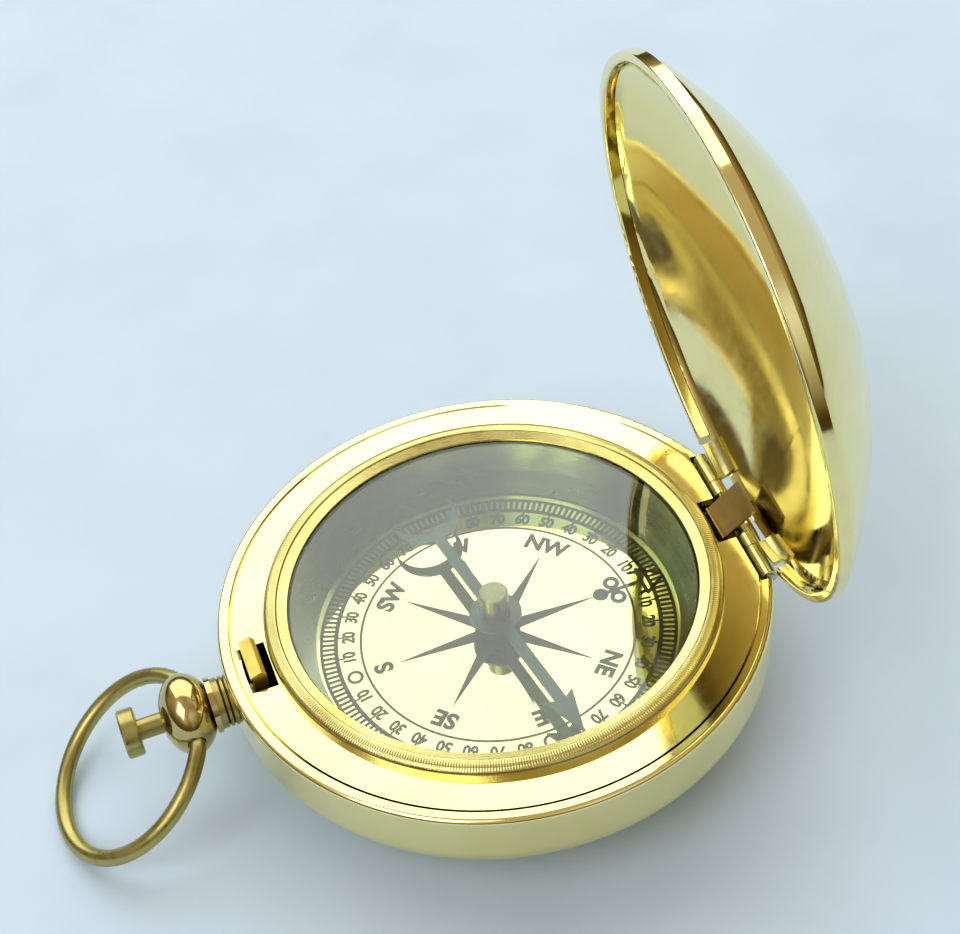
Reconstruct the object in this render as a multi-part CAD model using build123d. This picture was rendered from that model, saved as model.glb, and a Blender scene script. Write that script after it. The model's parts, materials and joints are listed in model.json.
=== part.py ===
from build123d import *
import math
import os

# A push-button hunter-case pocket compass in brass, lid open, lying on its back.
# Millimetres. The origin is the centre of the flat under the case, Z is up,
# +X points at the lid hinge and -X at the pendant with its button and bow.

# Case
CASE_R = 25.0
LIP_TOP = 12.4
SEAM_Z = 8.0
WALL = 0.8
LIP_INNER_R = 23.8
FLANGE_TOP = LIP_TOP - 0.05
FLANGE_T = 0.7
GROOVE = 0.1
SLIP = 0.02
LEDGE_R = 23.2
LEDGE_T = 0.4
REST_R = 9.0
SHOULDER_R = 24.2
SHOULDER_Z = 6.05
COVER_T = 0.5

# Dial well, crystal and bezel
BOWL_R = 18.9
BOWL_BORE_R = 18.3
BOWL_FLOOR_Z = 4.9
FLOOR_T = 0.45
DIAL_TOP = LIP_TOP - 5.85
DIAL_T = 0.6
DIAL_RING_BORE_R = 16.7
CRYSTAL_R = 19.2
CRYSTAL_T = 0.45
BEZEL_R = 20.7
BEZEL_TOP = LIP_TOP + 1.05
RETAINER_BORE_R = 18.5
RETAINER_R = 19.4

# Needle on its pivot
NEEDLE_Z = DIAL_TOP + 2.1
NEEDLE_T = 0.3
NEEDLE_AZIMUTH = -81.0
NEEDLE_TIP = 15.8
BARB_R = 11.2
TAIL_R = 11.0
BAR_HALF = 0.55
BOSS_R = 2.4
CAP_R = 1.35
CAP_TOP = DIAL_TOP + 5.2
PIN_R = 0.3
PIN_TIP_Z = CAP_TOP - 0.9

# Lid
LID_R = 24.0
LID_T = 0.5
LID_SEAT_Z = LIP_TOP + 0.06
SKIRT_H = 1.2
DOME_H = 9.4
CROWN_FLAT = 0.12
SHOULDER_FILLET = 2.4
RIM_R = 24.15
RIM_BORE_R = 23.2
RIM_H = 1.1
OPEN_ANGLE = 83.8
HINGE_TURN = -1.6

# Hinge, its axis parallel to Y but for HINGE_TURN about Z
HINGE_X = 23.4
HINGE_Z = LIP_TOP - 0.35
KNUCKLE_R = 0.75
PIN_HINGE_R = 0.4
HINGE_CLEARANCE = 0.05
HINGE_HALF = 8.0
INNER_KNUCKLE = (2.75, 4.3)
OUTER_KNUCKLE = (4.4, HINGE_HALF)
HINGE_CUT_HALF = 8.35
HINGE_CUT_X = 22.45
HINGE_CUT_Z = LIP_TOP - 1.4

# Slots through the flange
SLOT_HALF = 2.65
SLOT_INNER_X = 20.75
LATCH_SLOT_X = 23.3

# Lift spring
LIFT_X = 21.6
LIFT_Z = LIP_TOP - 0.6
LIFT_REACH = 3.9
LIFT_ANGLE = 39.0
LIFT_HALF = 2.0
LEAF_T = 0.25

# Latch
ARM_R = 22.1
ARM_T = 0.5
ARM_Z = (8.9, 10.9)
ARM_ROOT_AZIMUTH = 125.0
HOOK_Y = (-1.8, 2.6)
HOOK_X = (-22.75, -21.5)
HOOK_TOP = LIP_TOP + 1.3
NOSE_X = -22.95
CATCH_DEPTH = 0.2

# Pendant, button and bow, on one axis parallel to X
PENDANT_Z = LIP_TOP - 2.98
NECK_R = 2.3
NECK_END = -26.35
COLLAR_END = -26.85
BALL_X = -28.95
BALL_AXIAL = 2.5
BALL_RADIAL = 3.7
BALL_FRONT = -31.25
BORE_R = 1.0
STEM_R = 0.95
STEM_END = -22.8
HEAD_R = 2.2
HEAD_X = (-34.9, -33.4)
BOW_WIRE_R = 0.75
BOW_HOLE_R = 0.83
BOW_R = 8.45
BOW_TILT = 34.0
BOW_STUB_START = 1.85
BOW_STUB_END = 3.4
BOW_BEND_R = 1.89


def outline(*pieces):
    """A face from lines and arcs that close on each other."""
    return make_face(Curve() + list(pieces))


def turned(face):
    """A solid of revolution from a face of (radius, height) about Z."""
    return revolve(Plane.XZ * face, Axis.Z)


def ring(outer, inner, bottom, top):
    """A plain square-edged ring about Z."""
    return turned(outline(Polyline((inner, bottom), (outer, bottom), (outer, top), (inner, top), close=True)))


def block(x, y, z):
    """A box between two values on each axis."""
    size = [high - low for low, high in (x, y, z)]
    middle = [(high + low) / 2 for low, high in (x, y, z)]
    return Pos(*middle) * Box(*size)


def rod_x(radius, x, y=0.0, z=PENDANT_Z):
    """A cylinder parallel to X."""
    return Pos((x[0] + x[1]) / 2, y, z) * Rot(0, 90, 0) * Cylinder(radius, x[1] - x[0])


def rod_y(radius, y, x, z):
    """A cylinder parallel to Y."""
    return Pos(x, (y[0] + y[1]) / 2, z) * Rot(90, 0, 0) * Cylinder(radius, y[1] - y[0])


def turned_x(face):
    """A solid of revolution from a face of (x, radius) about the pendant axis."""
    axis = Axis((0, 0, PENDANT_Z), (1, 0, 0))
    return revolve(Pos(0, 0, PENDANT_Z) * (Plane.XZ * face), axis)


def at_hinge(piece):
    """Turns a piece drawn along X round to the hinge, which sits a little off the pendant's line."""
    return piece.rotate(Axis.Z, HINGE_TURN)


def hinge_cut():
    """The room that the barrels and the lower edge of the open lid need in the case."""
    y = (-HINGE_CUT_HALF, HINGE_CUT_HALF)
    return at_hinge(block((HINGE_CUT_X, CASE_R + 1), y, (HINGE_CUT_Z, LIP_TOP + 1)))


def case_band():
    inner = CASE_R - WALL
    shelf = FLANGE_TOP - FLANGE_T
    section = outline(
        Line((inner, SEAM_Z), (CASE_R, SEAM_Z)),
        Line((CASE_R, SEAM_Z), (CASE_R, LIP_TOP - 0.5)),
        ThreePointArc((CASE_R, LIP_TOP - 0.5), (CASE_R - 0.15, LIP_TOP - 0.15), (CASE_R - 0.5, LIP_TOP)),
        Line((CASE_R - 0.5, LIP_TOP), (LIP_INNER_R + 0.15, LIP_TOP)),
        Line((LIP_INNER_R + 0.15, LIP_TOP), (LIP_INNER_R, LIP_TOP - 0.15)),
        Line((LIP_INNER_R, LIP_TOP - 0.15), (LIP_INNER_R, shelf)),
        Line((LIP_INNER_R, shelf), (LEDGE_R, shelf)),
        Line((LEDGE_R, shelf), (LEDGE_R, shelf - LEDGE_T)),
        Line((LEDGE_R, shelf - LEDGE_T), (inner, shelf - LEDGE_T)),
        Line((inner, shelf - LEDGE_T), (inner, SEAM_Z)),
    )
    stem_hole = rod_x(BORE_R, (-CASE_R - 1, -CASE_R + 2))
    return turned(section) - hinge_cut() - stem_hole - lift_rivet()


def top_flange():
    plate = ring(LIP_INNER_R - GROOVE, BOWL_R + SLIP, FLANGE_TOP - FLANGE_T, FLANGE_TOP)
    slot_y = (-SLOT_HALF, SLOT_HALF)
    slot_z = (FLANGE_TOP - 1, FLANGE_TOP + 1)
    latch_slot = block((-LATCH_SLOT_X, -SLOT_INNER_X), slot_y, slot_z)
    spring_slot = at_hinge(block((SLOT_INNER_X, CASE_R), slot_y, slot_z))
    return plate - hinge_cut() - latch_slot - spring_slot


def cover_section(inset):
    """Half section of the back dome, moved inwards by the sheet's thickness."""
    bottom = inset
    foot = (REST_R, bottom)
    shoulder = (SHOULDER_R - inset, SHOULDER_Z + inset / 2)
    seam = (CASE_R - inset, SEAM_Z)
    dome = TangentArc([foot, shoulder], tangent=(1, 0))
    return outline(
        Line((0, SEAM_Z), (0, bottom)),
        Line((0, bottom), foot),
        dome,
        TangentArc([shoulder, seam], tangent=dome % 1),
        Line(seam, (0, SEAM_Z)),
    )


def back_cover():
    snap_bore = CASE_R - WALL - 0.6
    snap_rim = ring(CASE_R - WALL - 0.02, snap_bore, SEAM_Z - 0.1, SEAM_Z + 0.8)
    root = ring(CASE_R - COVER_T / 2, snap_bore, SEAM_Z - 0.8, SEAM_Z)
    stem_notch = block((-CASE_R, -snap_bore + 1), (-2.2, 2.2), (SEAM_Z, SEAM_Z + 2))
    bowl = turned(cover_section(0.0)) - turned(cover_section(COVER_T))
    return bowl + root + snap_rim - stem_notch


def dial_bowl():
    cup = ring(BOWL_R, 0.0, BOWL_FLOOR_Z, FLANGE_TOP)
    well = ring(BOWL_BORE_R, 0.0, BOWL_FLOOR_Z + FLOOR_T, FLANGE_TOP + 1)
    return cup - well


def dial_plate():
    plate = ring(BOWL_BORE_R - SLIP, 0.0, DIAL_TOP - DIAL_T, DIAL_TOP)
    return plate - Pos(0, 0, DIAL_TOP) * Cylinder(PIN_R * 2, 4 * DIAL_T)


def dial_washer():
    blank = ring(BOWL_BORE_R - SLIP, 0.0, BOWL_FLOOR_Z + FLOOR_T, DIAL_TOP - DIAL_T)
    return blank - Cylinder(PIN_R * 2, 40)


def dial_ring():
    step = (BOWL_BORE_R + DIAL_RING_BORE_R) / 2
    edge = BOWL_BORE_R - SLIP
    return turned(outline(Polyline(
        (DIAL_RING_BORE_R, DIAL_TOP),
        (edge, DIAL_TOP),
        (edge, DIAL_TOP + 1.4),
        (step, DIAL_TOP + 1.4),
        (step, DIAL_TOP + 0.6),
        (DIAL_RING_BORE_R, DIAL_TOP + 0.6),
        close=True,
    )))


def pivot_post():
    foot = BOWL_FLOOR_Z + FLOOR_T
    cone = DIAL_TOP + 0.8
    return turned(outline(Polyline(
        (0, foot),
        (PIN_R * 2, foot),
        (PIN_R * 2, cone),
        (PIN_R, cone + 0.3),
        (PIN_R, PIN_TIP_Z - 0.6),
        (0, PIN_TIP_Z),
        close=True,
    )))


def crystal():
    disc = ring(CRYSTAL_R, 0.0, FLANGE_TOP, FLANGE_TOP + CRYSTAL_T)
    return chamfer(disc.edges().group_by(Axis.Z)[-1], 0.15)


def bezel():
    foot = FLANGE_TOP
    rebate = FLANGE_TOP + CRYSTAL_T
    bore = CRYSTAL_R + 0.05
    crest = (RETAINER_R + 0.35, BEZEL_TOP)
    side = (BEZEL_R, foot + 0.55)
    return turned(outline(
        Line((bore, foot), (BEZEL_R, foot)),
        Line((BEZEL_R, foot), side),
        ThreePointArc(side, (BEZEL_R - 0.28, BEZEL_TOP - 0.13), crest),
        Line(crest, (RETAINER_R, BEZEL_TOP - 0.1)),
        Line((RETAINER_R, BEZEL_TOP - 0.1), (RETAINER_R, rebate)),
        Line((RETAINER_R, rebate), (bore, rebate)),
        Line((bore, rebate), (bore, foot)),
    ))


def crystal_retainer():
    low = FLANGE_TOP + CRYSTAL_T
    return turned(outline(Polyline(
        (RETAINER_BORE_R, low),
        (RETAINER_R - 0.02, low),
        (RETAINER_R - 0.02, BEZEL_TOP - 0.15),
        (RETAINER_BORE_R, low + 0.2),
        close=True,
    )))


def needle_plate():
    """Flat steel needle drawn along +X: arrowhead, bar, boss and crescent tail."""
    head = make_face(Polyline(
        (BARB_R + 0.5, BAR_HALF),
        (BARB_R, 1.45),
        (NEEDLE_TIP, 0),
        (BARB_R, -1.45),
        (BARB_R + 0.5, -BAR_HALF),
        close=True,
    ))
    bar = Pos((BARB_R + 1 - TAIL_R) / 2, 0) * Rectangle(BARB_R + 1 + TAIL_R, 2 * BAR_HALF)
    horns = [(-TAIL_R - 4.2, 3.0), (-TAIL_R - 4.2, -3.0)]
    outer = ThreePointArc(horns[0], (-TAIL_R + 0.2, 0), horns[1])
    inner = ThreePointArc(horns[1], (-TAIL_R - 0.9, 0), horns[0])
    flat = head + bar + Circle(BOSS_R) + make_face(Curve() + [outer, inner])
    plate = extrude(flat, NEEDLE_T) - Cylinder(CAP_R - 0.35, 4)
    return Pos(0, 0, NEEDLE_Z) * Rot(0, 0, NEEDLE_AZIMUTH) * plate


def needle_cap():
    """Tall brass cap with a flange on the needle and a blind bore for the pivot."""
    low = NEEDLE_Z - 0.5
    spigot = CAP_R - 0.35
    bore = 0.65
    roof = PIN_TIP_Z + 0.05
    return turned(outline(Polyline(
        (bore, low),
        (spigot, low),
        (spigot, NEEDLE_Z + NEEDLE_T),
        (CAP_R, NEEDLE_Z + NEEDLE_T),
        (CAP_R, CAP_TOP - 0.12),
        (CAP_R - 0.12, CAP_TOP),
        (0, CAP_TOP),
        (0, roof),
        (bore, roof - 0.5),
        close=True,
    )))


def dome_solid(radius, skirt, sag, fillet_radius):
    """A solid lid form from its rim plane up: a skirt, a rounded shoulder and a shallow dome."""
    corner = (radius, skirt)
    sphere = (radius ** 2 + sag ** 2) / (2 * sag)
    half = math.asin(radius / sphere) / 2
    middle = (sphere * math.sin(half), skirt + sag - sphere * (1 - math.cos(half)))
    crown = (CROWN_FLAT, skirt + sag - CROWN_FLAT ** 2 / (2 * sphere))
    face = outline(
        Line((0, 0), (radius, 0)),
        Line((radius, 0), corner),
        ThreePointArc(corner, middle, crown),
        Line(crown, (0, crown[1])),
        Line((0, crown[1]), (0, 0)),
    )
    shoulder = face.vertices().sort_by_distance(corner)[0]
    return turned(fillet(shoulder, fillet_radius))


def opened(closed):
    """Turns a piece of the closed lid about the hinge axis to the open lid's place."""
    axis = Axis((HINGE_X, 0, HINGE_Z), (0, 1, 0))
    return at_hinge(closed.rotate(axis, OPEN_ANGLE))


def lid_notch():
    """The notch in the lid's edge that clears the hinge barrels."""
    y = (-HINGE_CUT_HALF - 0.1, HINGE_CUT_HALF + 0.1)
    return block((HINGE_CUT_X - 0.2, CASE_R + 1), y, (LIP_TOP - 1, HINGE_Z + KNUCKLE_R + 0.15))


def lid_rim_face():
    return ring(RIM_R, RIM_BORE_R, LID_SEAT_Z, LID_SEAT_Z + RIM_H)


def lid_form(inset):
    """The closed lid's solid form, made smaller all over by an inset."""
    form = dome_solid(LID_R - inset, SKIRT_H, DOME_H - inset, SHOULDER_FILLET - inset)
    return Pos(0, 0, LID_SEAT_Z) * form


def lid_shell():
    shell = lid_form(0.0) - lid_form(LID_T)
    return opened(shell - lid_notch() - lid_rim_face())


def lid_rim():
    rounded = fillet(lid_rim_face().edges().group_by(Axis.Z)[0], 0.25)
    half = HINGE_CUT_HALF + 0.5
    gap = block((0, CASE_R + 1), (-half, half), (LID_SEAT_Z - 1, LID_SEAT_Z + RIM_H + 1))
    return opened(rounded - gap)


def lid_catch():
    """A small plate inside the rim that the latch nose hooks over."""
    y = (HOOK_Y[0] - 0.3, HOOK_Y[1] + 0.3)
    z = (LID_SEAT_Z + 0.1, LID_SEAT_Z + 0.5)
    plate = block((-CASE_R, -20), y, z).rotate(Axis.Z, -HINGE_TURN)
    return opened(plate & ring(RIM_BORE_R, RIM_BORE_R - CATCH_DEPTH, LID_SEAT_Z, LID_SEAT_Z + 1))


def barrels(span):
    """The same barrel on both sides of the middle gap."""
    low, high = span
    pair = [rod_y(KNUCKLE_R, y, HINGE_X, HINGE_Z) for y in ((low, high), (-high, -low))]
    return pair[0] + pair[1]


def hinge_bore():
    return rod_y(PIN_HINGE_R + HINGE_CLEARANCE, (-20, 20), HINGE_X, HINGE_Z)


def both_sides(span, x, z):
    """Two boxes, mirrored in Y."""
    low, high = span
    return block(x, (low, high), z) + block(x, (-high, -low), z)


def lid_hinge():
    """The lid's two barrels and the curved leaves that carry them inside the skirt."""
    gap = 0.02
    curved = lid_form(LID_T + gap) - lid_form(LID_T + 0.45)
    leaves = curved & both_sides(OUTER_KNUCKLE, (20, CASE_R), (LID_SEAT_Z + 0.1, LID_SEAT_Z + 1.6))
    return opened(leaves + barrels(OUTER_KNUCKLE) - hinge_bore())


def case_hinge():
    """The case's two inner barrels on webs, with curved feet against the wall."""
    low, high = INNER_KNUCKLE
    webs = both_sides(INNER_KNUCKLE, (HINGE_X - 0.7, HINGE_X + 0.2), (HINGE_CUT_Z - 0.8, HINGE_Z))
    foot_ring = ring(CASE_R - WALL - 0.01, CASE_R - WALL - 0.6, HINGE_CUT_Z - 2.2, HINGE_CUT_Z - 0.05)
    feet = foot_ring & both_sides((low, high + 2.5), (20, CASE_R), (SEAM_Z, LIP_TOP))
    bore = rod_y(PIN_HINGE_R, (-20, 20), HINGE_X, HINGE_Z)
    return at_hinge(webs + feet + barrels(INNER_KNUCKLE) - bore)


def hinge_pin():
    return at_hinge(rod_y(PIN_HINGE_R, (-HINGE_HALF - 0.1, HINGE_HALF + 0.1), HINGE_X, HINGE_Z))


def lift_spring():
    """The tongue that throws the lid open, drawn from its bend outwards."""
    bend = rod_y(LEAF_T, (-LIFT_HALF, LIFT_HALF), LIFT_X, LIFT_Z)
    blade = block((0, LIFT_REACH), (-LIFT_HALF, LIFT_HALF), (-LEAF_T / 2, LEAF_T / 2))
    return at_hinge(bend + Pos(LIFT_X, 0, LIFT_Z) * Rot(0, -LIFT_ANGLE, 0) * blade)


def lift_spring_root():
    """The fixed half of the lift spring: down from the bend, out, and up the wall."""
    y = (-LIFT_HALF, LIFT_HALF)
    base = SEAM_Z + 0.9
    wall = CASE_R - WALL - 0.15
    upright = block((LIFT_X - LEAF_T, LIFT_X), y, (base, LIFT_Z - LEAF_T - 0.1))
    floor = block((LIFT_X - LEAF_T, wall), y, (base, base + LEAF_T))
    pad = block((wall - LEAF_T, wall), y, (base, base + 2.0))
    return at_hinge(upright + floor + pad) - lift_rivet()


def lift_rivet():
    return at_hinge(rod_x(0.5, (CASE_R - WALL - 0.6, CASE_R - 0.1), z=SEAM_Z + 2.0))


def sector(inner, outer, start, end, z):
    """A piece of a ring between two azimuths, in degrees."""
    middle = math.radians((start + end) / 2)
    spread = math.radians((end - start) / 2)
    reach = 2 * outer
    corners = [(0, 0)]
    for turn in (-spread, 0, spread):
        corners.append((reach * math.cos(middle + turn), reach * math.sin(middle + turn)))
    wedge = extrude(make_face(Polyline(*corners, close=True)), 40)
    return ring(outer, inner, *z) & wedge


def latch_arm():
    arm = sector(ARM_R - ARM_T, ARM_R, ARM_ROOT_AZIMUTH + 0.6, 180.0, ARM_Z)
    return arm - block((-30, 0), (-10, HOOK_Y[0]), (0, 20)) - hook_blank()


def hook_blank():
    """Side view of the latch hook, drawn in XZ: a post whose nose leans out over the catch."""
    low, high = HOOK_X
    nose_low = LID_SEAT_Z + 0.6
    return extrude(Plane.XZ.offset(-HOOK_Y[1]) * make_face(Polyline(
        (high, ARM_Z[0]),
        (high, HOOK_TOP - 0.55),
        (high - 0.4, HOOK_TOP),
        (NOSE_X, nose_low + 0.25),
        (NOSE_X, nose_low),
        (low, nose_low),
        (low, ARM_Z[0]),
        close=True,
    )), HOOK_Y[1] - HOOK_Y[0])


def latch_hook():
    return hook_blank()


def latch_anchor():
    """The block on the wall that the latch arm is riveted to."""
    start = ARM_ROOT_AZIMUTH - 9
    block_in_wall = sector(ARM_R - ARM_T, CASE_R - WALL - 0.01, start, ARM_ROOT_AZIMUTH, ARM_Z)
    return block_in_wall - latch_rivets()


def latch_rivets():
    """Two rivets through the anchor, one above the other."""
    rivets = []
    for height in (ARM_Z[0] + 0.6, ARM_Z[1] - 0.6):
        rod = rod_x(0.35, (ARM_R - ARM_T - 0.25, CASE_R - WALL - 0.1), z=height)
        rivets.append(Rot(0, 0, ARM_ROOT_AZIMUTH - 4.5) * rod)
    return Compound(children=rivets)


def pendant_neck():
    """A short ridged neck whose root follows the round case wall."""
    step = 0.45
    start = -CASE_R + 0.3
    points = [(start, BORE_R), (start, NECK_R)]
    x = -CASE_R - 0.1
    while x - step > NECK_END:
        points += [(x, NECK_R), (x - step / 4, NECK_R - 0.25), (x - step / 2, NECK_R)]
        x -= step
    points += [(NECK_END, NECK_R), (NECK_END, BORE_R)]
    return turned_x(make_face(Polyline(*points, close=True))) - Cylinder(CASE_R, 40)


def pendant_collar():
    x = (COLLAR_END, NECK_END)
    return rod_x(NECK_R + 0.25, x) - rod_x(BORE_R, (x[0] - 1, x[1] + 1))


def pendant_ball():
    """A squashed ball bored for the stem, with a blind hole on each side for the bow."""
    ellipsoid = scale(Sphere(1), by=(BALL_AXIAL, BALL_RADIAL, BALL_RADIAL))
    body = Pos(BALL_X, 0, PENDANT_Z) * ellipsoid
    body &= block((BALL_FRONT, COLLAR_END), (-10, 10), (0, 20))
    for y in ((BOW_STUB_START - 0.1, 10), (-10, -BOW_STUB_START + 0.1)):
        body -= rod_y(BOW_HOLE_R, y, BALL_X, PENDANT_Z)
    return body - rod_x(BORE_R, (-40, 0))


def button_stem():
    return rod_x(STEM_R, (HEAD_X[1], STEM_END))


def button_head():
    disc = rod_x(HEAD_R, HEAD_X)
    return chamfer(disc.edges().filter_by(GeomType.CIRCLE), 0.15)


def stem_collar():
    """The ring on the stem inside the wall that keeps the button from pulling out."""
    x = (-CASE_R + WALL + 0.3, -CASE_R + WALL + 0.65)
    return rod_x(STEM_R + 0.4, x) - rod_x(STEM_R, (x[0] - 1, x[1] + 1))


def bow_ring():
    """A round wire bow whose ends turn in and plug the ball's side holes."""
    tilt = math.radians(BOW_TILT)
    outward = (-math.cos(tilt), 0, -math.sin(tilt))
    plane = Plane(origin=(BALL_X, 0, PENDANT_Z), x_dir=outward, z_dir=(-math.sin(tilt), 0, math.cos(tilt)))
    spread = BOW_R - BOW_BEND_R
    centre = BOW_BEND_R + math.sqrt(spread ** 2 - BOW_STUB_END ** 2)
    slope = math.atan2(BOW_STUB_END, centre - BOW_BEND_R)
    join = (centre - BOW_R * math.cos(slope), BOW_R * math.sin(slope))
    half = slope / 2
    bend = (BOW_BEND_R * (1 - math.cos(half)), BOW_STUB_END + BOW_BEND_R * math.sin(half))
    path = plane * (Curve() + [
        Line((0, BOW_STUB_START), (0, BOW_STUB_END)),
        ThreePointArc((0, BOW_STUB_END), bend, join),
        ThreePointArc(join, (centre + BOW_R, 0), (join[0], -join[1])),
        ThreePointArc((join[0], -join[1]), (bend[0], -bend[1]), (0, -BOW_STUB_END)),
        Line((0, -BOW_STUB_END), (0, -BOW_STUB_START)),
    ])
    start = Plane(origin=path @ 0, z_dir=path % 0)
    return sweep(start * Circle(BOW_WIRE_R), path=path)


NODES = {
    "case_band": case_band,
    "top_flange": top_flange,
    "back_cover": back_cover,
    "dial_bowl": dial_bowl,
    "dial_plate": dial_plate,
    "dial_washer": dial_washer,
    "dial_ring": dial_ring,
    "pivot_post": pivot_post,
    "crystal": crystal,
    "bezel": bezel,
    "crystal_retainer": crystal_retainer,
    "needle_plate": needle_plate,
    "needle_cap": needle_cap,
    "lid_shell": lid_shell,
    "lid_rim": lid_rim,
    "lid_catch": lid_catch,
    "lid_hinge": lid_hinge,
    "case_hinge": case_hinge,
    "hinge_pin": hinge_pin,
    "lift_spring": lift_spring,
    "lift_spring_root": lift_spring_root,
    "lift_rivet": lift_rivet,
    "latch_arm": latch_arm,
    "latch_hook": latch_hook,
    "latch_anchor": latch_anchor,
    "latch_rivets": latch_rivets,
    "pendant_neck": pendant_neck,
    "pendant_collar": pendant_collar,
    "pendant_ball": pendant_ball,
    "button_stem": button_stem,
    "button_head": button_head,
    "stem_collar": stem_collar,
    "bow_ring": bow_ring,
}

os.makedirs("parts", exist_ok=True)
for name, make in NODES.items():
    export_step(make(), f"parts/{name}.step")
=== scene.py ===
"""Push-button pocket compass, lid open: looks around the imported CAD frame. Metres, Z up."""

import json
import math

import bmesh
import bpy
from mathutils import Matrix, Vector


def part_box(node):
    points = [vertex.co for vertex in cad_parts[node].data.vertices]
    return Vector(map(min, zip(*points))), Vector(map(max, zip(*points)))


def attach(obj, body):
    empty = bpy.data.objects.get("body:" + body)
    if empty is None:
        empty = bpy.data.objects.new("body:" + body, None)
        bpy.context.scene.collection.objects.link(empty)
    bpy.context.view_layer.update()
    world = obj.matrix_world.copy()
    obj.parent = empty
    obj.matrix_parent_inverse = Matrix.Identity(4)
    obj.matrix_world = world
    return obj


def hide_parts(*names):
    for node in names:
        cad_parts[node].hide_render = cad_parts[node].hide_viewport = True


MM = 0.001

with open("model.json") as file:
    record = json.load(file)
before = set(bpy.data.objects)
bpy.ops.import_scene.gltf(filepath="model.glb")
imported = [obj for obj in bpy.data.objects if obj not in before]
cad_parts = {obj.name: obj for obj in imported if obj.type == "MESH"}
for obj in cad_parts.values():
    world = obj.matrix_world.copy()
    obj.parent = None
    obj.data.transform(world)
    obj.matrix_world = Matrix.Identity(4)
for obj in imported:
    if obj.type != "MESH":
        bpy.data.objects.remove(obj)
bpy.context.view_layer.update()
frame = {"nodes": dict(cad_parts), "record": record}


# ---------------------------------------------------------------- measures from the frame

def radius_of(node):
    """Half of a round node's width along Y."""
    low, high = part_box(node)
    return (high[1] - low[1]) / 2


def top_of(node):
    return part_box(node)[1][2]


DIAL_TOP = top_of("dial_plate")
FLANGE_TOP = top_of("top_flange")
BEZEL_R = radius_of("bezel")
BEZEL_TOP = top_of("bezel")


# ---------------------------------------------------------------- node helpers

def new_material(name):
    """A material with an empty node tree but for a Principled shader on the output."""
    material = bpy.data.materials.new(name)
    material.use_nodes = True
    nodes = material.node_tree.nodes
    nodes.clear()
    output = nodes.new("ShaderNodeOutputMaterial")
    shader = nodes.new("ShaderNodeBsdfPrincipled")
    material.node_tree.links.new(shader.outputs["BSDF"], output.inputs["Surface"])
    return material, shader


def add(material, kind, **settings):
    """A node of a kind, with sockets or properties set by name."""
    node = material.node_tree.nodes.new(kind)
    for key, value in settings.items():
        if key in node.inputs:
            node.inputs[key].default_value = value
        else:
            setattr(node, key, value)
    return node


def link(material, source, target):
    material.node_tree.links.new(source, target)


def object_place(material):
    return add(material, "ShaderNodeTexCoord").outputs["Object"]


def noise(material, scale, detail=3.0, roughness=0.55, stretch=None):
    """Noise on the object's own metres, stretched along an axis if asked."""
    node = add(material, "ShaderNodeTexNoise", Scale=scale, Detail=detail, Roughness=roughness)
    place = object_place(material)
    if stretch:
        mapping = add(material, "ShaderNodeMapping")
        mapping.inputs["Scale"].default_value = stretch
        link(material, place, mapping.inputs["Vector"])
        place = mapping.outputs["Vector"]
    link(material, place, node.inputs["Vector"])
    return node.outputs["Fac"]


def ramp(material, source, stops):
    """A colour ramp: stops are (position, colour)."""
    node = add(material, "ShaderNodeValToRGB")
    band = node.color_ramp
    band.elements[0].position, band.elements[1].position = stops[0][0], stops[-1][0]
    band.elements[0].color, band.elements[1].color = (*stops[0][1], 1), (*stops[-1][1], 1)
    for place, colour in stops[1:-1]:
        band.elements.new(place).color = (*colour, 1)
    link(material, source, node.inputs["Fac"])
    return node.outputs["Color"]


def spread(material, source, low, high, start=0.3, end=0.7):
    """Maps a value's middle range onto low..high."""
    node = add(material, "ShaderNodeMapRange")
    node.inputs["From Min"].default_value = start
    node.inputs["From Max"].default_value = end
    node.inputs["To Min"].default_value = low
    node.inputs["To Max"].default_value = high
    link(material, source, node.inputs["Value"])
    return node.outputs["Result"]


def bump(material, shader, height, strength, distance, under=None):
    node = add(material, "ShaderNodeBump", Strength=strength, Distance=distance)
    link(material, height, node.inputs["Height"])
    if under is not None:
        link(material, under, node.inputs["Normal"])
    link(material, node.outputs["Normal"], shader.inputs["Normal"])
    return node.outputs["Normal"]


# ---------------------------------------------------------------- materials

def metal(name, tones, rough, wave=0.0, wave_scale=90, grain=0.0, grain_scale=4000, stretch=None):
    """Polished or drawn metal: two tones, uneven roughness, slow waves and a fine grain."""
    material, shader = new_material(name)
    shader.inputs["Metallic"].default_value = 1.0
    tone = ramp(material, noise(material, 140, 4.0), [(0.3, tones[0]), (0.7, tones[1])])
    link(material, tone, shader.inputs["Base Color"])
    smear = noise(material, 650, 5.0, 0.65, stretch)
    link(material, spread(material, smear, *rough), shader.inputs["Roughness"])
    normal = None
    if wave:
        normal = bump(material, shader, noise(material, wave_scale, 1.0, 0.3), 1.0, wave)
    if grain:
        bump(material, shader, noise(material, grain_scale, 3.0, 0.6, stretch), 1.0, grain, normal)
    return material


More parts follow.
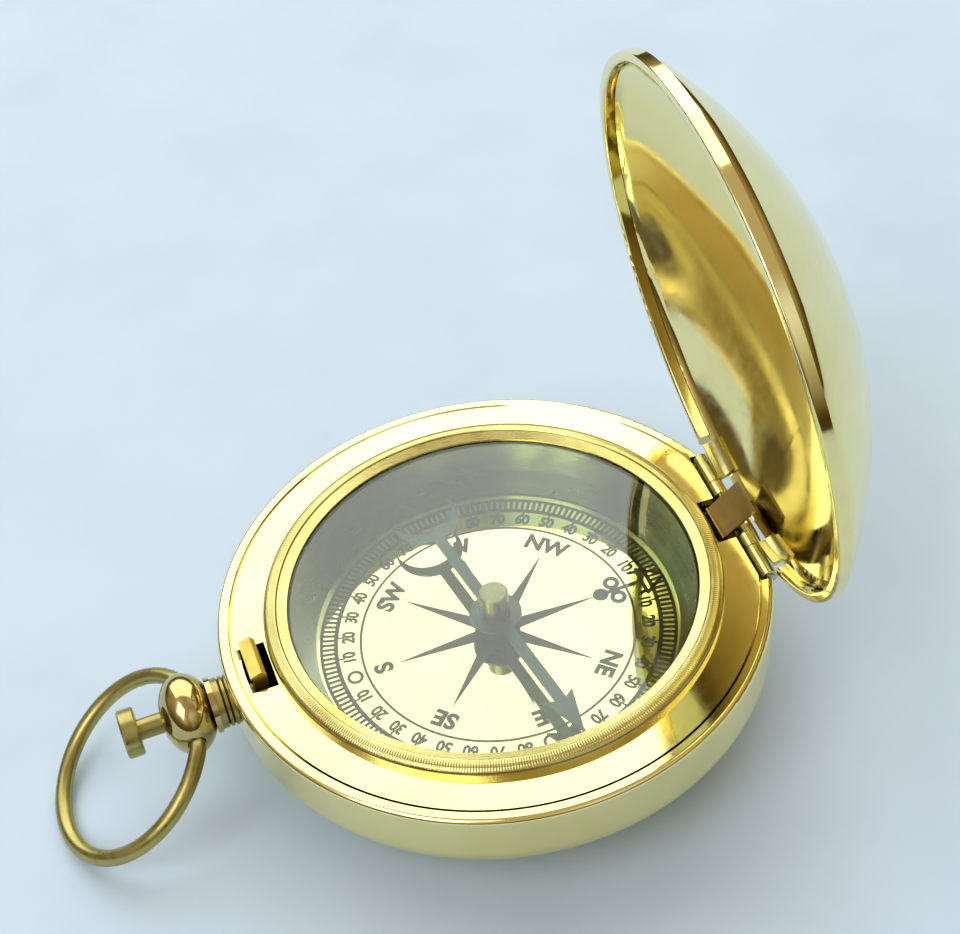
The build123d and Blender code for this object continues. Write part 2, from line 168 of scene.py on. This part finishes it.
# name: two tones, roughness range, then the waves and the grain, both in metres
METALS = {
    "polished_brass": dict(
        tones=[(0.85, 0.75, 0.34), (0.92, 0.83, 0.41)],
        rough=(0.04, 0.12), wave=0.00008, grain=0.0000006),
    "milled_brass": dict(
        tones=[(0.48, 0.42, 0.15), (0.72, 0.65, 0.29)],
        rough=(0.12, 0.26), grain=0.00001, grain_scale=5200),
    "well_brass": dict(
        tones=[(0.15, 0.18, 0.11), (0.24, 0.27, 0.17)],
        rough=(0.16, 0.30), grain=0.0000008, stretch=(1, 1, 9)),
    "dial_brass": dict(
        tones=[(0.82, 0.85, 0.34), (0.88, 0.89, 0.40)],
        rough=(0.02, 0.05), grain=0.0000002),
    "blued_steel": dict(
        tones=[(0.036, 0.062, 0.052), (0.060, 0.092, 0.076)],
        rough=(0.30, 0.46), grain=0.000002),
    "cap_brass": dict(
        tones=[(0.15, 0.15, 0.07), (0.27, 0.26, 0.12)],
        rough=(0.20, 0.36), grain=0.000002, stretch=(1, 1, 0.2)),
    "steel": dict(
        tones=[(0.40, 0.41, 0.38), (0.55, 0.55, 0.52)],
        rough=(0.18, 0.32), grain=0.000001),
    "hinge_brass": dict(
        tones=[(0.40, 0.36, 0.13), (0.66, 0.60, 0.27)],
        rough=(0.14, 0.32), grain=0.000003, stretch=(1, 0.2, 1)),
    "spring_bronze": dict(
        tones=[(0.17, 0.115, 0.035), (0.27, 0.18, 0.06)],
        rough=(0.22, 0.38), grain=0.000002, stretch=(1, 0.2, 1)),
    "latch_brass": dict(
        tones=[(0.50, 0.36, 0.08), (0.78, 0.66, 0.18)],
        rough=(0.28, 0.48), grain=0.00001, grain_scale=2600),
    "red_brass": dict(
        tones=[(0.52, 0.41, 0.17), (0.63, 0.51, 0.23)],
        rough=(0.06, 0.15), wave=0.00008, wave_scale=160),
    "aged_brass": dict(
        tones=[(0.30, 0.26, 0.085), (0.50, 0.44, 0.16)],
        rough=(0.22, 0.42), grain=0.000004, grain_scale=2600),
}


def make_materials():
    made = {name: metal(name, **looks) for name, looks in METALS.items()}
    made["crystal_glass"] = crystal_glass()
    made["marking"] = marking_fill()
    return made


def crystal_glass():
    """Clear glass, faintly green and uneven, that mirrors the window as a pale veil."""
    material, shader = new_material("crystal_glass")
    shader.inputs["Transmission Weight"].default_value = 1.0
    shader.inputs["IOR"].default_value = 1.55
    haze = noise(material, 220, 3.0)
    tone = ramp(material, haze, [(0.3, (0.90, 0.96, 0.93)), (0.7, (0.95, 0.985, 0.965))])
    link(material, tone, shader.inputs["Base Color"])
    link(material, spread(material, haze, 0.0, 0.02), shader.inputs["Roughness"])
    return material


def marking_fill():
    """The dark fill of the dial's figures, a satin olive-grey."""
    material, shader = new_material("marking")
    tones = [(0.3, (0.035, 0.045, 0.028)), (0.7, (0.075, 0.085, 0.050))]
    link(material, ramp(material, noise(material, 700, 4.0), tones), shader.inputs["Base Color"])
    roughness = spread(material, noise(material, 1500, 3.0), 0.40, 0.60)
    link(material, roughness, shader.inputs["Roughness"])
    shader.inputs["Specular IOR Level"].default_value = 0.25
    return material


# ---------------------------------------------------------------- mesh helpers

def mesh_object(name, work):
    """Turns a bmesh into an object in the scene, its face normals recalculated outwards."""
    mesh = bpy.data.meshes.new(name)
    bmesh.ops.recalc_face_normals(work, faces=work.faces)
    work.to_mesh(mesh)
    work.free()
    piece = bpy.data.objects.new(name, mesh)
    bpy.context.scene.collection.objects.link(piece)
    return piece


def flat_solid(work, outline, low, high):
    """A prism over a flat outline of (x, y), as its own closed shell."""
    rings = [[work.verts.new((x, y, z)) for x, y in outline] for z in (low, high)]
    count = len(outline)
    work.faces.new(rings[1])
    work.faces.new(list(reversed(rings[0])))
    for i in range(count):
        j = (i + 1) % count
        work.faces.new((rings[0][i], rings[0][j], rings[1][j], rings[1][i]))


def flat_ring(work, inner, outer, low, high, start=0.0, end=math.tau, steps=360, centre=(0, 0)):
    """A flat band between two radii, whole or over an arc, as its own closed shell."""
    whole = abs(end - start - math.tau) < 1e-9
    count = steps if whole else steps + 1
    loops = []
    for radius, z in ((inner, low), (outer, low), (outer, high), (inner, high)):
        loop = []
        for i in range(count):
            turn = start + (end - start) * i / steps
            x = centre[0] + radius * math.cos(turn)
            y = centre[1] + radius * math.sin(turn)
            loop.append(work.verts.new((x, y, z)))
        loops.append(loop)
    for i in range(count if whole else count - 1):
        j = (i + 1) % count
        for k in range(4):
            a, b = loops[k], loops[(k + 1) % 4]
            work.faces.new((a[i], a[j], b[j], b[i]))
    if not whole:
        for i in (0, count - 1):
            work.faces.new([loop[i] for loop in loops])


# ---------------------------------------------------------------- dial markings

MARK_LOW = DIAL_TOP - 0.005 * MM
MARK_HIGH = DIAL_TOP + 0.02 * MM
SCALE_OUTER = 16.45 * MM
SCALE_INNER = 14.75 * MM
CELL_INNER = 15.15 * MM
CELL_OUTER = 16.15 * MM
ROSE_R = 12.65 * MM
FIGURE_R = 13.75 * MM
LETTER_R = 10.95 * MM
ROSE_HALF_LINE = 0.12 * MM
ZERO_RING = (0.46 * MM, 0.76 * MM)
FIGURE_SIZE = 1.6 * MM
FIGURE_WEIGHT = 0.07 * MM
FIGURE_SQUEEZE = 0.86
LETTER_SIZE = 2.3 * MM
LETTER_WEIGHT = 0.11 * MM
SPIKE_TIP = 9.5 * MM
SPIKE_ROOT_HALF = 0.68 * MM
SPIKE_TIP_HALF = 0.035 * MM
HUB_R = 2.1 * MM
POST_HOLE_R = 0.62 * MM
CELL_STEP = 2
CELL_BAR_SHARE = 0.27
TICK_LENGTH = 0.55 * MM
TICK_HALF = 0.09 * MM


def polar(radius, degrees):
    turn = math.radians(degrees)
    return Vector((radius * math.cos(turn), radius * math.sin(turn)))


def scale_ring(work):
    """The outer band of bright cells: dark rings, with a dark bar every two degrees."""
    flat_ring(work, SCALE_INNER, CELL_INNER, MARK_LOW, MARK_HIGH)
    flat_ring(work, CELL_OUTER, SCALE_OUTER, MARK_LOW, MARK_HIGH)
    half = math.radians(CELL_STEP) * CELL_BAR_SHARE
    for degrees in range(0, 360, CELL_STEP):
        middle = math.radians(degrees + CELL_STEP / 2)
        flat_ring(work, CELL_INNER - 0.02 * MM, CELL_OUTER + 0.02 * MM, MARK_LOW, MARK_HIGH,
                  middle - half, middle + half, 2)


def ten_degree_ticks(work):
    """Short ticks inwards from the scale, but for the four quarters."""
    low = SCALE_INNER - TICK_LENGTH
    high = SCALE_INNER + 0.05 * MM
    for degrees in range(10, 360, 10):
        if degrees % 90:
            along = polar(1, degrees)
            across = Vector((-along.y, along.x)) * TICK_HALF
            inner = along * low
            outer = along * high
            corners = [inner + across, outer + across, outer - across, inner - across]
            flat_solid(work, corners, MARK_LOW, MARK_HIGH)


def spikes(work):
    """Eight thin spikes from the hub towards the letters."""
    for index in range(8):
        along = polar(1, index * 45)
        across = Vector((-along.y, along.x))
        root = along * HUB_R * 0.6
        tip = along * SPIKE_TIP
        root_side = across * SPIKE_ROOT_HALF
        tip_side = across * SPIKE_TIP_HALF
        outline = [root + root_side, root - root_side, tip - tip_side, tip + tip_side]
        flat_solid(work, outline, MARK_LOW, MARK_HIGH)
    flat_ring(work, POST_HOLE_R, HUB_R, MARK_LOW, MARK_HIGH, steps=96)


def north_mark(work):
    """North, along +X: an outlined arrowhead with barbs, a shaft, and a trefoil inside the rose."""
    z = (MARK_LOW, MARK_HIGH)
    tip = 16.3 * MM
    base = 14.1 * MM
    wing = 1.45 * MM
    line = 0.36 * MM
    for side in (1, -1):
        slope = Vector((base - tip, side * wing)).normalized()
        inward = Vector((slope.y, -slope.x)) * side * line
        start = Vector((tip, 0))
        end = Vector((base, side * wing))
        flat_solid(work, [start, end, end + inward, start + inward], *z)
        barb = Vector((base - 0.75 * MM, side * (wing + 0.15 * MM)))
        down = Vector((0, side * line))
        flat_solid(work, [end, barb, barb - down, end - down], *z)
    flat_solid(work, [(base, -wing), (base + line, -wing), (base + line, wing), (base, wing)], *z)
    shaft = 10.4 * MM
    half = 0.21 * MM
    flat_solid(work, [(shaft, -half), (base, -half), (base, half), (shaft, half)], *z)
    for side in (1, -1):
        flat_ring(work, 0.34 * MM, 0.78 * MM, *z, steps=40, centre=(11.6 * MM, side * 0.92 * MM))
    flat_ring(work, 0.001 * MM, 0.74 * MM, *z, steps=40, centre=(10.2 * MM, 0))


def text_mesh(words, size, radius, degrees, weight, squeeze=1.0):
    """A word on the dial, its top outward, as a mesh object."""
    curve = bpy.data.curves.new(f"word_{words}", "FONT")
    curve.body = words
    curve.size = size
    curve.align_x = "CENTER"
    curve.align_y = "CENTER"
    curve.offset = weight
    curve.extrude = (MARK_HIGH - MARK_LOW) / 2
    word = bpy.data.objects.new(f"word_{words}", curve)
    bpy.context.scene.collection.objects.link(word)
    place = polar(radius, degrees)
    middle = (MARK_LOW + MARK_HIGH) / 2
    turn = Matrix.Rotation(math.radians(degrees - 90), 4, "Z")
    shift = Matrix.Translation((place.x, place.y, middle))
    word.matrix_world = shift @ turn @ Matrix.Diagonal((squeeze, 1, 1, 1))
    bpy.context.view_layer.update()
    graph = bpy.context.evaluated_depsgraph_get()
    mesh = bpy.data.meshes.new_from_object(word.evaluated_get(graph))
    mesh.transform(word.matrix_world)
    bpy.data.objects.remove(word)
    return mesh


def dial_markings():
    """All the dark figures of the dial, joined as one mesh on the dial plate."""
    work = bmesh.new()
    scale_ring(work)
    ten_degree_ticks(work)
    spikes(work)
    north_mark(work)
    flat_ring(work, ROSE_R - ROSE_HALF_LINE, ROSE_R + ROSE_HALF_LINE, MARK_LOW, MARK_HIGH)
    for degrees in (90, 180, 270):
        flat_ring(work, *ZERO_RING, MARK_LOW, MARK_HIGH, steps=48, centre=polar(FIGURE_R, degrees))
    for index, word in enumerate(("NE", "E", "SE", "S", "SW", "W", "NW")):
        work.from_mesh(text_mesh(word, LETTER_SIZE, LETTER_R, -45 * (index + 1), LETTER_WEIGHT))
    for figure in range(10, 90, 10):
        for degrees in (-figure, figure, 180 - figure, 180 + figure):
            work.from_mesh(
                text_mesh(str(figure), FIGURE_SIZE, FIGURE_R, degrees, FIGURE_WEIGHT, FIGURE_SQUEEZE))
    return mesh_object("dial_markings", work)


# ---------------------------------------------------------------- milled bezel

BEZEL_TEETH = 540
STEPS_PER_TOOTH = 6
TOOTH_DEPTH = 0.03 * MM
CREST_STEPS = 10
CREST_INSET = 0.3 * MM
CREST_FOOT = 0.45 * MM


def bezel_profile():
    """The bezel's closed section: radius, height and how much of the milling it takes."""
    foot = FLANGE_TOP
    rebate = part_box("crystal_retainer")[0][2]
    bore = radius_of("crystal") + 0.05 * MM
    lip = radius_of("crystal_retainer") + 0.02 * MM
    profile = [(bore, foot, 0), (BEZEL_R, foot, 0), (BEZEL_R, foot + 0.35 * MM, 0)]
    for i in range(CREST_STEPS + 1):
        turn = math.pi / 2 * i / CREST_STEPS
        radius = lip + CREST_INSET + (BEZEL_R - lip - CREST_INSET) * math.cos(turn)
        height = foot + CREST_FOOT + (BEZEL_TOP - foot - CREST_FOOT) * math.sin(turn)
        profile.append((radius, height, math.sin(turn) ** 2))
    profile += [(lip + 0.1 * MM, BEZEL_TOP - 0.03 * MM, 0.4), (lip, BEZEL_TOP - 0.12 * MM, 0)]
    return profile + [(lip, rebate, 0), (bore, rebate, 0)]


def milled_bezel():
    """The bezel ring with fine milling round its crest."""
    steps = BEZEL_TEETH * STEPS_PER_TOOTH
    work = bmesh.new()
    loops = []
    for radius, height, milling in bezel_profile():
        loop = []
        for i in range(steps):
            turn = math.tau * i / steps
            notch = (0.5 + 0.5 * math.cos(math.tau * i / STEPS_PER_TOOTH)) * milling * TOOTH_DEPTH
            loop.append(work.verts.new((radius * math.cos(turn), radius * math.sin(turn), height - notch)))
        loops.append(loop)
    for k in range(len(loops)):
        a, b = loops[k], loops[(k + 1) % len(loops)]
        for i in range(steps):
            j = (i + 1) % steps
            work.faces.new((a[i], a[j], b[j], b[i]))
    return mesh_object("bezel_milled", work)


# ---------------------------------------------------------------- light, floor, camera

LIP_HEIGHT = 12.4 * MM
CAMERA_ELEVATION = 44.993
CAMERA_AZIMUTH = 14.434
CAMERA_ROLL = -7.506
CAMERA_DISTANCE = 185.72 * MM
AIM = (0.331 * MM, 15.532 * MM)
FOCAL = 73.09
SENSOR = 36.0
FLOOR_HALF = 0.55


def camera_axes():
    """Right, up and forward of the camera in the part's frame."""
    angles = (CAMERA_ELEVATION, CAMERA_AZIMUTH, CAMERA_ROLL)
    elevation, azimuth, roll = (math.radians(angle) for angle in angles)
    forward = Vector((0, math.cos(elevation), -math.sin(elevation)))
    right = Vector((1, 0, 0))
    up = right.cross(forward)
    rolled_right = math.cos(roll) * right + math.sin(roll) * up
    rolled_up = -math.sin(roll) * right + math.cos(roll) * up
    turn = Matrix.Rotation(-azimuth, 3, "Z")
    return turn @ rolled_right, turn @ rolled_up, turn @ forward


def add_camera():
    """The camera, aimed at a point in the plane of the case's lip."""
    right, up, forward = camera_axes()
    turn = Matrix.Rotation(-math.radians(CAMERA_AZIMUTH), 3, "Z")
    target = turn @ Vector((AIM[0], AIM[1], 0)) + Vector((0, 0, LIP_HEIGHT))
    place = target - forward * CAMERA_DISTANCE
    data = bpy.data.cameras.new("camera")
    data.lens = FOCAL
    data.sensor_width = SENSOR
    data.sensor_fit = "HORIZONTAL"
    data.clip_start = 0.005
    camera = bpy.data.objects.new("camera", data)
    rotation = Matrix((right, up, -forward)).transposed().to_4x4()
    camera.matrix_world = Matrix.Translation(place) @ rotation
    bpy.context.scene.collection.objects.link(camera)
    bpy.context.scene.camera = camera


def area_light(name, place, size, power, colour):
    """A soft rectangular light that faces the part."""
    data = bpy.data.lights.new(name, "AREA")
    data.shape = "RECTANGLE"
    data.size, data.size_y = size
    data.energy = power
    data.color = colour
    light = bpy.data.objects.new(name, data)
    facing = (-Vector(place)).to_track_quat("-Z", "Y").to_matrix().to_4x4()
    light.matrix_world = Matrix.Translation(place) @ facing
    bpy.context.scene.collection.objects.link(light)


def studio():
    """A pale floor, one broad soft window behind the part, a weak fill, and the room."""
    work = bmesh.new()
    bmesh.ops.create_grid(work, x_segments=2, y_segments=2, size=FLOOR_HALF)
    floor = mesh_object("floor", work)
    material, shader = new_material("floor_paper")
    tones = [(0.3, (0.52, 0.65, 0.85)), (0.7, (0.56, 0.69, 0.89))]
    link(material, ramp(material, noise(material, 60, 4.0), tones), shader.inputs["Base Color"])
    shader.inputs["Roughness"].default_value = 0.8
    floor.data.materials.append(material)

    area_light("window", (0.10, 0.75, 0.80), (1.9, 1.3), 13.2, (0.95, 1.0, 0.94))
    area_light("fill", (-0.55, -0.35, 0.75), (0.6, 0.6), 3.0, (1.0, 0.99, 0.97))
    world_room()


ROOM_HEIGHTS = [
    (0.0, (0.10, 0.075, 0.03)),
    (0.16, (0.27, 0.23, 0.12)),
    (0.34, (0.48, 0.45, 0.30)),
    (0.62, (0.85, 0.86, 0.86)),
]
ROOM_SIDES = [(0.50, (1.0, 1.0, 1.0)), (0.98, (0.80, 0.68, 0.52))]
ROOM_PATCHES = [(0.42, (0.62, 0.50, 0.34)), (0.60, (1.0, 1.0, 1.0))]


def world_room():
    """Bright overhead, dim and warm near the horizon, dimmer and redder on the hinge side."""
    world = bpy.data.worlds.new("room")
    bpy.context.scene.world = world
    world.use_nodes = True
    coordinates = add(world, "ShaderNodeTexCoord").outputs["Generated"]
    parts = add(world, "ShaderNodeSeparateXYZ")
    link(world, coordinates, parts.inputs["Vector"])
    height = ramp(world, parts.outputs["Z"], ROOM_HEIGHTS)
    side = ramp(world, spread(world, parts.outputs["X"], 0.0, 1.0, -1.0, 1.0), ROOM_SIDES)
    patches = add(world, "ShaderNodeTexNoise", Scale=1.6, Detail=1.0)
    link(world, coordinates, patches.inputs["Vector"])
    warm = ramp(world, patches.outputs["Fac"], ROOM_PATCHES)
    shade = multiply(world, multiply(world, height, side), warm)
    link(world, shade, world.node_tree.nodes["Background"].inputs["Color"])


def multiply(world, first, second):
    """The product of two colours."""
    node = add(world, "ShaderNodeMix", data_type="RGBA", blend_type="MULTIPLY")
    node.inputs["Factor"].default_value = 1.0
    link(world, first, node.inputs["A"])
    link(world, second, node.inputs["B"])
    return node.outputs["Result"]


# ---------------------------------------------------------------- assembly

def dress_nodes(made):
    """Gives every CAD node the material of its slot."""
    slots = {part["node"]: part["material_slot"] for part in frame["record"]["subparts"]}
    for node, piece in frame["nodes"].items():
        piece.data.materials.clear()
        piece.data.materials.append(made[slots[node]])


def place_piece(piece, material, body):
    """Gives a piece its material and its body."""
    piece.data.materials.append(material)
    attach(piece, body)


def main():
    made = make_materials()
    add_camera()
    studio()
    dress_nodes(made)
    place_piece(dial_markings(), made["marking"], "case")
    bezel = milled_bezel()
    place_piece(bezel, made["milled_brass"], "case")
    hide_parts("bezel")


bpy.context.scene.view_settings.view_transform = "Standard"
main()
